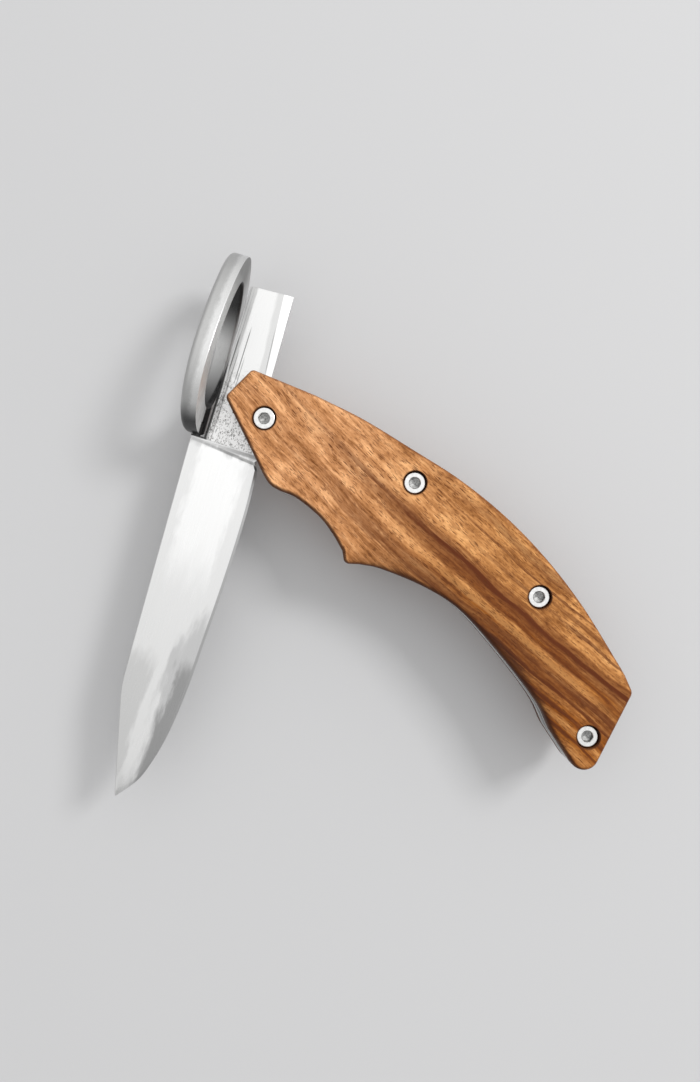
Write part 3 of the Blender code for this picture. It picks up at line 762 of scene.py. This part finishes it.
def blade_material():
    """Satin blade, with lengthwise grinding; the tang turns rough and pitted towards the shoulder."""
    g = Graph(bpy.data.materials.new("satin_blade_steel"))
    millimetres = g.in_millimetres()
    x, y = g.split(millimetres)[:2]
    lines = g.noise(millimetres, (16, 0.09, 16), 3, 0.65)
    ragged = g.sway(g.noise(millimetres, (0.5, 0.12, 0.5), 3, 0.6), -1.0, 1.0)
    across = g.total(g.minus(x, SPINE_LEFT), ragged)
    below = g.minus(SHOULDER, y)
    down = g.total(below, g.product(ragged, 2.0))

    # painted highlight and shade: brightest in the middle near the shoulder; low down a light streak is left to
    # the tip
    inner = g.product(g.span(across, 2.4, 3.6), g.fall(across, 12.0, 13.4))
    colour = g.mix(g.product(inner, g.fall(down, 20.0, 34.0, smooth=True)), warm(0.83), warm(0.97))
    low_down = g.span(down, 45.0, 51.0, smooth=True)
    slanted = g.total(down, g.product(across, 1.8))
    edge_side = g.product(g.span(across, 9.0, 10.6, smooth=True), g.span(slanted, 58.0, 66.0, smooth=True))
    colour = g.mix(edge_side, colour, grey(0.60))
    widened = g.total(across, g.span(down, 50.0, 68.0, 0.0, 1.3))
    colour = g.mix(g.product(g.span(widened, 11.0, 12.4, smooth=True), low_down), colour, grey(0.34))
    colour = g.mix(g.product(g.fall(across, 6.4, 7.8, smooth=True), low_down), colour, warm(0.66))
    colour = g.mix(g.span(down, 70.0, 77.0, 0.0, 0.4, smooth=True), colour, grey(0.62))

    # painted shade: a greyer strip below the shoulder, and a darker edge bevel
    shade_strip = g.product(g.span(below, 0.0, 0.3), g.fall(g.total(below, ragged), 0.8, 2.2, smooth=True))
    colour = g.mix(g.product(shade_strip, g.span(across, 0.0, 14.0, 0.45, 0.85)), colour, grey(0.50))
    bevel = g.product(g.span(g.facing()[0], 0.20, 0.28, 0.0, 0.9), g.fall(down, 70.0, 75.0))
    colour = g.mix(bevel, colour, grey(0.42))

    # the tang: plain steel, pitted near the shoulder, and scratched along the spine bevel
    on_tang = g.span(y, SHOULDER - 0.05, SHOULDER + 0.15)
    colour = g.mix(on_tang, colour, g.mix(g.span(lines, 0.35, 0.7), warm(0.83), warm(0.92)))
    rough_edge = g.total(y, g.sway(g.noise(millimetres, (0.7, 0.7, 0.7)), -2.5, 2.5))
    pitted = g.product(on_tang, g.fall(rough_edge, 2.0, 10.0, smooth=True))
    grains = g.noise(millimetres, (0.9, 0.9, 0.9), 5, 0.75)
    stipple = g.noise(millimetres, (3.2, 2.0, 3.2), 3, 0.7, turn_deg=20)
    pits = g.product(g.total(grains, stipple), 0.5)
    worn = g.mix(g.span(pits, 0.425, 0.495), (0.12, 0.115, 0.11), (0.86, 0.855, 0.85))
    colour = g.mix(g.product(pitted, 0.85), colour, worn)
    scratches = g.noise(millimetres, (7.0, 0.035, 7.0), shift=(2, 0, 0))
    on_bevel = g.product(on_tang, g.fall(x, TANG_LEFT + 1.5, TANG_LEFT + 1.9))
    colour = g.mix(g.product(on_bevel, g.span(scratches, 0.54, 0.60, 0.0, 0.5)), colour, grey(0.16))

    # a greyer band along the front bevel, with a thin score on it
    root_ridge = TANG_ROOT_WIDTH - FRONT_BEVEL_WIDTHS[0]
    end_ridge = TANG_END_WIDTH - FRONT_BEVEL_WIDTHS[1]
    slope = (root_ridge - end_ridge) / (TANG_END - TANG_ROOT)
    from_ridge = g.minus(TANG_LEFT + root_ridge, g.total(x, g.product(g.minus(y, TANG_ROOT), slope)))
    wavy = g.total(from_ridge, g.product(ragged, 0.3))
    band = g.product(g.fall(wavy, 1.2, 1.7, 0.75), g.span(from_ridge, 0.0, 0.15), g.span(y, 6.0, 9.0))
    colour = g.mix(band, colour, warm(0.66))
    score = g.fall(g.off(from_ridge, 0.25), 0.04, 0.11, 0.6)
    score = g.product(score, g.span(y, 9.0, 11.0), g.fall(y, 17.0, 20.0))
    colour = g.mix(score, colour, grey(0.10))

    # scores beside the ring, and painted shade along the tang's edge by the ring, narrowing upwards
    for place, low, high, strength in TANG_SCORES:
        score = g.fall(g.off(x, TANG_LEFT + place), 0.05, 0.14, strength)
        score = g.product(score, g.span(y, low, low + 2.0), g.fall(y, high - 2.0, high))
        colour = g.mix(score, colour, grey(0.08))
    from_spine = g.minus(g.minus(x, TANG_LEFT), g.span(y, 4.0, 13.0, 0.42, 0.05))
    crevice_shade = g.product(g.fall(from_spine, 0.0, 0.2), g.fall(y, 8.0, 13.0, 0.96), on_tang)
    colour = g.mix(crevice_shade, colour, grey(0.02))
    colour = g.mix(g.span(lines, 0.35, 0.7, 0.0, 0.12), colour, warm(0.58))

    plunge = g.product(g.span(below, -0.05, 0.1), g.fall(below, PLUNGE_LENGTH, PLUNGE_LENGTH + 0.2))
    duller = g.total(g.product(pitted, 0.10), g.product(on_bevel, 0.28), g.product(plunge, 0.35))
    shine = g.total(g.span(ragged, -1.0, 1.0, 0.27, 0.31), g.sway(lines, -0.03, 0.05), duller, clamp=True)
    normal = g.bump(g.product(pits, pitted), 0.8, 0.12, under=g.bump(lines, 0.5, 0.004))
    return g.dress(colour, shine, normal, Metallic=1.0)


def turned_material(name, tone, roughness, wear=0.14):
    """Turned metal: fine rings round each piece's own axis, and smudges."""
    g = Graph(bpy.data.materials.new(name))
    millimetres = g.in_millimetres()
    x, y, z = g.split(millimetres)
    radius = g.distance(g.join(x, y, 0.0), ORIGIN)
    rings = g.noise(g.join(radius, z, 0.0), (14, 14, 1), 2, 0.6)
    smudges = g.noise(millimetres, (1.6, 1.6, 1.6), 4, 0.65)
    colour = g.mix(g.span(smudges, 0.38, 0.60), [level * (1 - wear) for level in tone], tone)
    shine = g.total(g.sway(smudges, roughness - 0.05, roughness + 0.10), g.sway(rings, -0.03, 0.05))
    return g.dress(colour, shine, g.bump(rings, 0.4, 0.006), Metallic=1.0)


# Handle


def counterbore(shape, centre, recess):
    floor = SCALE_OUTER - recess - HEAD_HEIGHT - FACE_GAP
    head = HEAD_RADIUS + HEAD_GAP
    lip = head + BORE_LIP
    profile = [(SHANK_BORE, SCALE_INNER - PAST), (SHANK_BORE, floor), (head, floor)]
    profile += [(head, SCALE_OUTER - BORE_LIP), (lip, SCALE_OUTER), (lip, SCALE_OUTER + PAST)]
    add_turned(shape, profile, centre)


def make_scale(side, material):
    """A scale, its outer edge rounded and its screws' places counterbored."""
    outline = handle_outline()
    layers = [(inset(outline, SCALE_FOOT_BREAK), SCALE_INNER), (outline, SCALE_INNER + SCALE_FOOT_BREAK)]
    for sine, cosine in quarter_turn(EDGE_STEPS):
        layers.append((inset(outline, EDGE_ROUND * (1 - cosine)), SCALE_OUTER - EDGE_ROUND_DROP * (1 - sine)))
    shape = bmesh.new()
    add_stack(shape, layers)
    bores = bmesh.new()
    counterbore(bores, ORIGIN, PIVOT_RECESS)
    for place in screw_places().values():
        counterbore(bores, place, BODY_RECESS)
    if side == "far":
        shape, bores = mirrored(shape), mirrored(bores)
    made = as_object(f"{side}_wood_scale", shape)
    cut(made, [bores])
    finish_piece(made, f"{side}_scale", "handle", material, sharp_deg=32)


def make_liner(side, material):
    outline = handle_outline()
    broken = inset(outline, LINER_BREAK)
    layers = [(broken, LINER_INNER), (outline, LINER_INNER + LINER_BREAK)]
    layers += [(outline, LINER_OUTER - LINER_BREAK), (broken, LINER_OUTER)]
    shape = bmesh.new()
    add_stack(shape, layers)
    bores = bmesh.new()
    places = [(ORIGIN, BARREL_BORE)] + [(place, SHANK_BORE) for place in screw_places().values()]
    for place, radius in places:
        add_turned(bores, [(radius, LINER_INNER - PAST), (radius, LINER_OUTER + PAST)], place)
    if side == "far":
        shape, bores = mirrored(shape), mirrored(bores)
    made = as_object(f"{side}_steel_liner", shape)
    cut(made, [bores])
    finish_piece(made, f"{side}_liner", "handle", material)


def make_screw(node, side, place, recess, material, socket_material):
    """A low socket head with a rounded rim and a countersunk hexagon."""
    top = SCALE_OUTER - recess
    under = top - HEAD_HEIGHT
    bottom = top - SOCKET_DEPTH
    profile = [
        (SHANK_RADIUS - SHANK_CHAMFER, TIP_GAP),
        (SHANK_RADIUS, TIP_GAP + SHANK_CHAMFER),
        (SHANK_RADIUS, under),
        (HEAD_RADIUS - HEAD_FOOT_BREAK, under),
        (HEAD_RADIUS, under + HEAD_FOOT_BREAK),
    ]
    for sine, cosine in quarter_turn(RIM_STEPS):
        profile.append((HEAD_RADIUS - HEAD_RIM * (1 - cosine), top - HEAD_RIM * (1 - sine)))
    shape = bmesh.new()
    add_turned(shape, profile)

    corner = SOCKET_FLATS / 2 / math.cos(math.pi / 6)
    angles = [math.radians(SOCKET_TURN_DEG + 60 * index) for index in range(6)]
    hexagon = [corner * Vector((math.cos(angle), math.sin(angle))) for angle in angles]
    socket, mouth, drill = bmesh.new(), bmesh.new(), bmesh.new()
    add_stack(socket, [(hexagon, bottom), (hexagon, top + PAST)])
    add_turned(mouth, [(corner - SOCKET_CHAMFER, top - SOCKET_CHAMFER), (corner + PAST, top + PAST)])
    add_turned(drill, [(0.05, bottom - DRILL_POINT), (DRILL_RADIUS, bottom), (DRILL_RADIUS, bottom + 0.2)])
    parts = [socket, mouth, drill]
    if side == "far":
        shape = mirrored(shape)
        parts = [mirrored(part) for part in parts]
    made = as_object(f"{node}_socket_head", shape, place)
    cut(made, parts)

    def in_socket(centre):
        return centre.xy.length < corner - 0.05 and under < abs(centre.z) < top - 0.1

    finish_piece(made, node, "handle", material, second=(in_socket, socket_material))


def make_tube(name, node, place, radii, heights, edge, material, slot):
    """A tube between two radii and two heights, each of its four rims broken."""
    bore, outer = radii
    low, high = heights
    profile = [(bore + edge, high), (bore, high - edge), (bore, low + edge), (bore + edge, low)]
    profile += [(outer - edge, low), (outer, low + edge), (outer, high - edge), (outer - edge, high)]
    shape = bmesh.new()
    add_turned(shape, profile, bored=True)
    made = as_object(name, shape, place)
    finish_piece(made, node, "handle", material)


# Blade and ring


def tang_outline():
    """The tang from the edge's heel round the lobe and up, then down its spine side to the shoulder."""
    arc = []
    for step in range(LOBE_STEPS + 1):
        angle = math.radians(LOBE_START_DEG + LOBE_TURN_DEG * step / LOBE_STEPS)
        arc.append(LOBE_RADIUS * Vector((math.cos(angle), math.sin(angle))))
    post_top = NOTCH_HEIGHT - BORE_GAP
    return [
        on_blade(EDGE_HEEL_SHARES[0]),
        *arc,
        Vector((TANG_LEFT + TANG_ROOT_WIDTH, TANG_ROOT)),
        Vector((TANG_LEFT + TANG_END_WIDTH, TANG_END)),
        Vector((TANG_LEFT, TANG_END - TANG_END_DROP)),
        Vector((TANG_LEFT, LEDGE_TOP)),
        Vector((TANG_LEFT - RING_FOOT_GAP, LEDGE_TOP)),
        on_ring(post_top, 0),
        on_ring(post_top, POST_DEPTH),
        Vector((TANG_LEFT - RING_FOOT_GAP - POST_DEPTH, LEDGE_TOP)),
        Vector((SPINE_LEFT, LEDGE_TOP)),
        on_blade(SPINE_SHARES[0]),
    ]


def blade_section(spine, edge, width, halves, spine_break, crown):
    """Near side from spine to edge, slightly crowned, then the far side back again."""
    spine_half, bevel_half, edge_half = halves
    inward = (edge - spine).normalized()
    upper, lower = spine + inward * SPINE_BREAK_WIDTH, edge - inward * width
    near = [(spine, spine_half - spine_break)]
    for step in range(GRIND_STEPS + 1):
        share = step / GRIND_STEPS
        swell = crown * 4 * share * (1 - share)
        near.append((upper.lerp(lower, share), spine_half + share * (bevel_half - spine_half) + swell))
    near.append((edge, edge_half))
    return [(*point, height) for point, height in near] + [(*point, -height) for point, height in near[::-1]]


def blade_sections():
    """Cross-sections from the shoulder to the tip; the first is as thick as the tang."""
    spine_corners = [on_blade(share) for share in SPINE_SHARES]
    spine = [spine_corners[0], *rounded(*spine_corners, SPINE_BEND_RADIUS), spine_corners[-1]]
    heel = [on_blade(share) for share in EDGE_HEEL_SHARES]
    edge = [heel[0], *smooth_through([heel[1]] + [on_blade(share) for share in EDGE_SHARES])]
    sections = [blade_section(spine[0], edge[0], EDGE_BEVEL_WIDTH, [BLADE_FACE] * 3, 0, 0)]
    plunge = PLUNGE_LENGTH / BLADE_LENGTH
    shares = [plunge * step / PLUNGE_STEPS for step in range(1, PLUNGE_STEPS)]
    shares += [plunge + (1 - plunge) * step / BLADE_STATIONS for step in range(BLADE_STATIONS)]
    for share in shares:
        sunk = min(1.0, share / plunge)
        sunk = sunk * sunk * (3 - 2 * sunk)
        left = PLUNGE_SHARE + share**2 * (TIP_SHARE - PLUNGE_SHARE)
        spine_point, edge_point = along_curve(spine, share), along_curve(edge, share)
        breadth = (spine_point - edge_point).length
        width = min(EDGE_BEVEL_WIDTH, breadth * EDGE_BEVEL_SHARE)
        ground = (BLADE_FACE * left, EDGE_BEVEL_HALF, EDGE_HALF)
        halves = [BLADE_FACE + sunk * (half - BLADE_FACE) for half in ground]
        growth = CROWN_GROWTH * min(1.0, share / CROWN_FULL_SHARE) ** 2
        crown = sunk * (CROWN + growth) * min(1.0, breadth / BLADE_WIDTH)
        spine_break = SPINE_BREAK * min(1.0, breadth / 2)
        sections.append(blade_section(spine_point, edge_point, width, halves, spine_break, crown))
    return sections, spine[-1]


def make_blade(material):
    """Tang and blade as one skin: the tang's two faces take in the first section's corners."""
    (first, *others), tip = blade_sections()
    shape = bmesh.new()
    plan = tang_outline()
    near = [shape.verts.new((point.x, point.y, BLADE_FACE)) for point in plan]
    far = [shape.verts.new((point.x, point.y, -BLADE_FACE)) for point in plan]
    count = len(first) // 2
    near_inner = [shape.verts.new(corner) for corner in first[1 : count - 1]]
    far_inner = [shape.verts.new(corner) for corner in first[count + 1 : -1]]
    shape.faces.new([*near, *near_inner])
    shape.faces.new([*far, *far_inner[::-1]][::-1])
    for index in range(len(plan) - 1):
        shape.faces.new((far[index], far[index + 1], near[index + 1], near[index]))
    rings = [[near[-1], *near_inner, near[0], far[0], *far_inner, far[-1]]]
    rings += [[shape.verts.new(corner) for corner in section] for section in others]
    bridge(shape, rings, ends_open=True)
    last, point = rings[-1], shape.verts.new((*tip, 0))
    for index, corner in enumerate(last):
        shape.faces.new((corner, last[(index + 1) % len(last)], point))
    made = as_object("drop_point_blade", shape)

    bore = bmesh.new()
    radius, chamfered = BARREL_BORE, BLADE_FACE - BLADE_BORE_CHAMFER
    wide = radius + BLADE_BORE_CHAMFER + PAST
    profile = [(wide, -BLADE_FACE - PAST), (radius, -chamfered), (radius, chamfered), (wide, BLADE_FACE + PAST)]
    add_turned(bore, profile)
    foot, end = Vector((TANG_LEFT, LEDGE_TOP + RING_FOOT_GAP)), Vector((TANG_LEFT, TANG_END))
    root = Vector((TANG_LEFT + TANG_ROOT_WIDTH, TANG_ROOT))
    front_end = Vector((TANG_LEFT + TANG_END_WIDTH, TANG_END))
    spine_bevel = tang_bevel(foot, end, 1, SPINE_BEVEL_WIDTHS)
    cut(made, [bore, spine_bevel, tang_bevel(root, front_end, -1, FRONT_BEVEL_WIDTHS)])
    break_tang_edges(made)
    finish_piece(made, "blade", "blade", material, sharp_deg=9)


def tang_bevel(foot, end, inward_x, widths):
    """A cutter for a long bevel on both faces, from foot to a little past end."""
    shape = bmesh.new()
    direction = (end - foot).normalized()
    inward = inward_x * Vector((direction.y, -direction.x))
    past_end = widths[1] + (widths[1] - widths[0]) / (end - foot).length
    for face in (1, -1):
        rings = []
        for station, width in ((foot, widths[0]), (end + direction, past_end)):
            offsets = (-PAST, width + PAST)
            places = [station + inward * offset for offset in offsets]
            ground = [BLADE_FACE - (width - offset) * TANG_BEVEL_SLOPE for offset in offsets]
            corners = [(*place, face * height) for place, height in zip(places, ground)]
            corners += [(*place, face * (BLADE_FACE + PAST)) for place in places[::-1]]
            rings.append([shape.verts.new(corner) for corner in corners])
        bridge(shape, rings)
    return shape


def break_tang_edges(made):
    """A small rounding on the tang's outer edges that run along one of its faces."""
    shape = bmesh.new()
    shape.from_mesh(made.data)
    weights = shape.edges.layers.float.new("bevel_weight_edge")
    for edge in shape.edges:
        first, last = [vert.co / MM for vert in edge.verts]
        middle = (first + last) / 2
        on_blade_side = middle.y < LEDGE_TOP + 0.5
        round_bore = middle.xy.length < BARREL_RADIUS + PAST
        between_faces = abs(abs(first.z) - abs(last.z)) >= 0.3
        if on_blade_side or round_bore or between_faces or len(edge.link_faces) != 2:
            continue
        if edge.calc_face_angle(0) > math.radians(50):
            edge[weights] = 1.0
    shape.to_mesh(made.data)
    shape.free()
    modifier = made.modifiers.new("edges", "BEVEL")
    modifier.limit_method = "WEIGHT"
    modifier.width = TANG_EDGE_BREAK * MM
    modifier.segments = 2
    bake(made)


def ring_back(along):
    """How far the ring's back lies behind its front face."""
    return RING_FOOT_THICKNESS + along / RING_LENGTH * (RING_END_THICKNESS - RING_FOOT_THICKNESS)


def ring_section(angle):
    """The ring cut across: front edge, rounded back edge, and the hole's back and front rims."""
    outer = Vector(egg(angle, 0, RING_LENGTH, RING_HEIGHT))
    hole = Vector(egg(angle, RING_FOOT_DEPTH, HOLE_LENGTH, HOLE_HEIGHT))
    inward = (hole - outer).normalized()
    corners = []
    for sine, cosine in quarter_turn(RING_BREAK_STEPS):
        corners.append((outer + inward * RING_EDGE_BREAK * (1 - sine), RING_EDGE_BREAK * (1 - cosine)))
    for sine, cosine in quarter_turn(EDGE_STEPS):
        point = outer + inward * RING_EDGE_ROUND * (1 - cosine)
        corners.append((point, ring_back(point.x) - RING_EDGE_ROUND * (1 - sine)))
    for sine, cosine in quarter_turn(HOLE_BACK_STEPS):
        point = hole - inward * HOLE_BACK_CHAMFER * (1 - sine)
        corners.append((point, ring_back(point.x) - HOLE_BACK_CHAMFER * (1 - cosine)))
    for sine, cosine in quarter_turn(HOLE_STEPS):
        corners.append((hole - inward * HOLE_CHAMFER * (1 - cosine), HOLE_CHAMFER * (1 - sine)))
    return [(*on_ring(point.x, depth), point.y) for point, depth in corners]


def make_ring(material):
    shape = bmesh.new()
    rings = []
    for station in range(RING_STATIONS):
        section = ring_section(2 * math.pi * station / RING_STATIONS)
        rings.append([shape.verts.new(corner) for corner in section])
    bridge(shape, [*rings, rings[0]], ends_open=True)
    made = as_object("egg_shaped_thumb_ring", shape)
    corners = [(-PAST, -PAST), (NOTCH_HEIGHT, -PAST), (NOTCH_HEIGHT, NOTCH_DEPTH), (-PAST, NOTCH_DEPTH)]
    plan = [on_ring(*corner) for corner in corners]
    half = BLADE_FACE + BORE_GAP
    notch = bmesh.new()
    add_stack(notch, [(plan, -half), (plan, half)])
    cut(made, [notch])
    finish_piece(made, "thumb_ring", "blade", material)


# Stage


def make_stage():
    shape = bmesh.new()
    bmesh.ops.create_grid(shape, x_segments=1, y_segments=1, size=FLOOR_SIZE)
    mesh = bpy.data.meshes.new("floor")
    shape.to_mesh(mesh)
    shape.free()
    floor = add_object("floor", mesh, (0, 0, 0))
    g = Graph(bpy.data.materials.new("pale_floor"))
    mesh.materials.append(g.dress(FLOOR_COLOUR, 0.8, Specular_IOR_Level=0.1))


def make_key_light():
    data = bpy.data.lights.new("key_light", "AREA")
    data.size = KEY_SIZE
    data.energy = KEY_WATTS
    light = add_object("key_light", data, PIVOT + Vector(KEY_PLACE) * MM)
    aim = Vector(KEY_TARGET) - Vector(KEY_PLACE)
    light.rotation_euler = aim.to_track_quat("-Z", "Y").to_euler()


def make_world():
    """Soft light all round, brightest high beyond the tang and dim on the blade's side."""
    world = bpy.data.worlds.new("studio")
    g = Graph(world)
    brightest = Vector(BRIGHTEST_WAY).normalized()
    way = g.coordinates["Generated"]
    towards = g.node("ShaderNodeVectorMath", way, brightest, operation="DOT_PRODUCT").outputs["Value"]
    levels = g.ramp(g.span(towards, -1.0, 1.0), [(place, grey(level)) for place, level in WORLD_LEVELS])
    g.feed(world.node_tree.nodes["Background"].inputs["Color"], levels)
    bpy.context.scene.world = world


def make_camera():
    data = bpy.data.cameras.new("camera")
    data.sensor_fit = "VERTICAL"
    data.sensor_height = SENSOR_HEIGHT
    data.lens = SENSOR_HEIGHT * FOCAL_LENGTH / PHOTO_HEIGHT
    data.clip_start = 0.01
    camera = add_object("camera", data, PIVOT + Vector(CAMERA_PLACE) * MM)
    camera.rotation_euler.z = math.radians(CAMERA_TURN_DEG)
    bpy.context.scene.camera = camera


def make_handle():
    woods = {"near": wood_material("near_scale_wood", 3.0), "far": wood_material("far_scale_wood", 41.0)}
    liner_steel = liner_material()
    screw_steel = turned_material("screw_steel", (0.90, 0.90, 0.89), 0.26)
    socket_steel = turned_material("socket_steel", (0.52, 0.52, 0.51), 0.45, wear=0.62)
    bronze = turned_material("washer_bronze", (0.66, 0.45, 0.22), 0.34)
    for side, wood in woods.items():
        make_scale(side, wood)
    washer_radii = (BARREL_BORE, WASHER_RADIUS)
    washer_heights = {"near": (WASHER_INNER, WASHER_OUTER), "far": (-WASHER_OUTER, -WASHER_INNER)}
    for side, heights in washer_heights.items():
        make_liner(side, liner_steel)
        make_screw(f"{side}_pivot_screw", side, ORIGIN, PIVOT_RECESS, screw_steel, socket_steel)
        for where, place in screw_places().items():
            make_screw(f"{side}_{where}_screw", side, place, BODY_RECESS, screw_steel, socket_steel)
        name, node = f"{side}_bronze_washer", f"{side}_washer"
        make_tube(name, node, ORIGIN, washer_radii, heights, WASHER_BREAK, bronze, "washer_bronze")
    end = LINER_INNER - FACE_GAP
    tubes = [
        (f"{where}_spacer", f"{where}_standoff", place, (SHANK_BORE, STANDOFF_RADIUS), (-end, end))
        for where, place in screw_places().items()
    ]
    barrel_radii, barrel_heights = (SHANK_BORE, BARREL_RADIUS), (-LINER_OUTER, LINER_OUTER)
    tubes.append(("pivot_sleeve", "pivot_barrel", ORIGIN, barrel_radii, barrel_heights))
    for tube in tubes:
        make_tube(*tube, TUBE_BREAK, screw_steel, "screw_steel")


make_handle()
make_blade(blade_material())
make_ring(ring_material())
make_stage()
make_key_light()
make_world()
make_camera()
bpy.context.scene.view_settings.view_transform = "Standard"
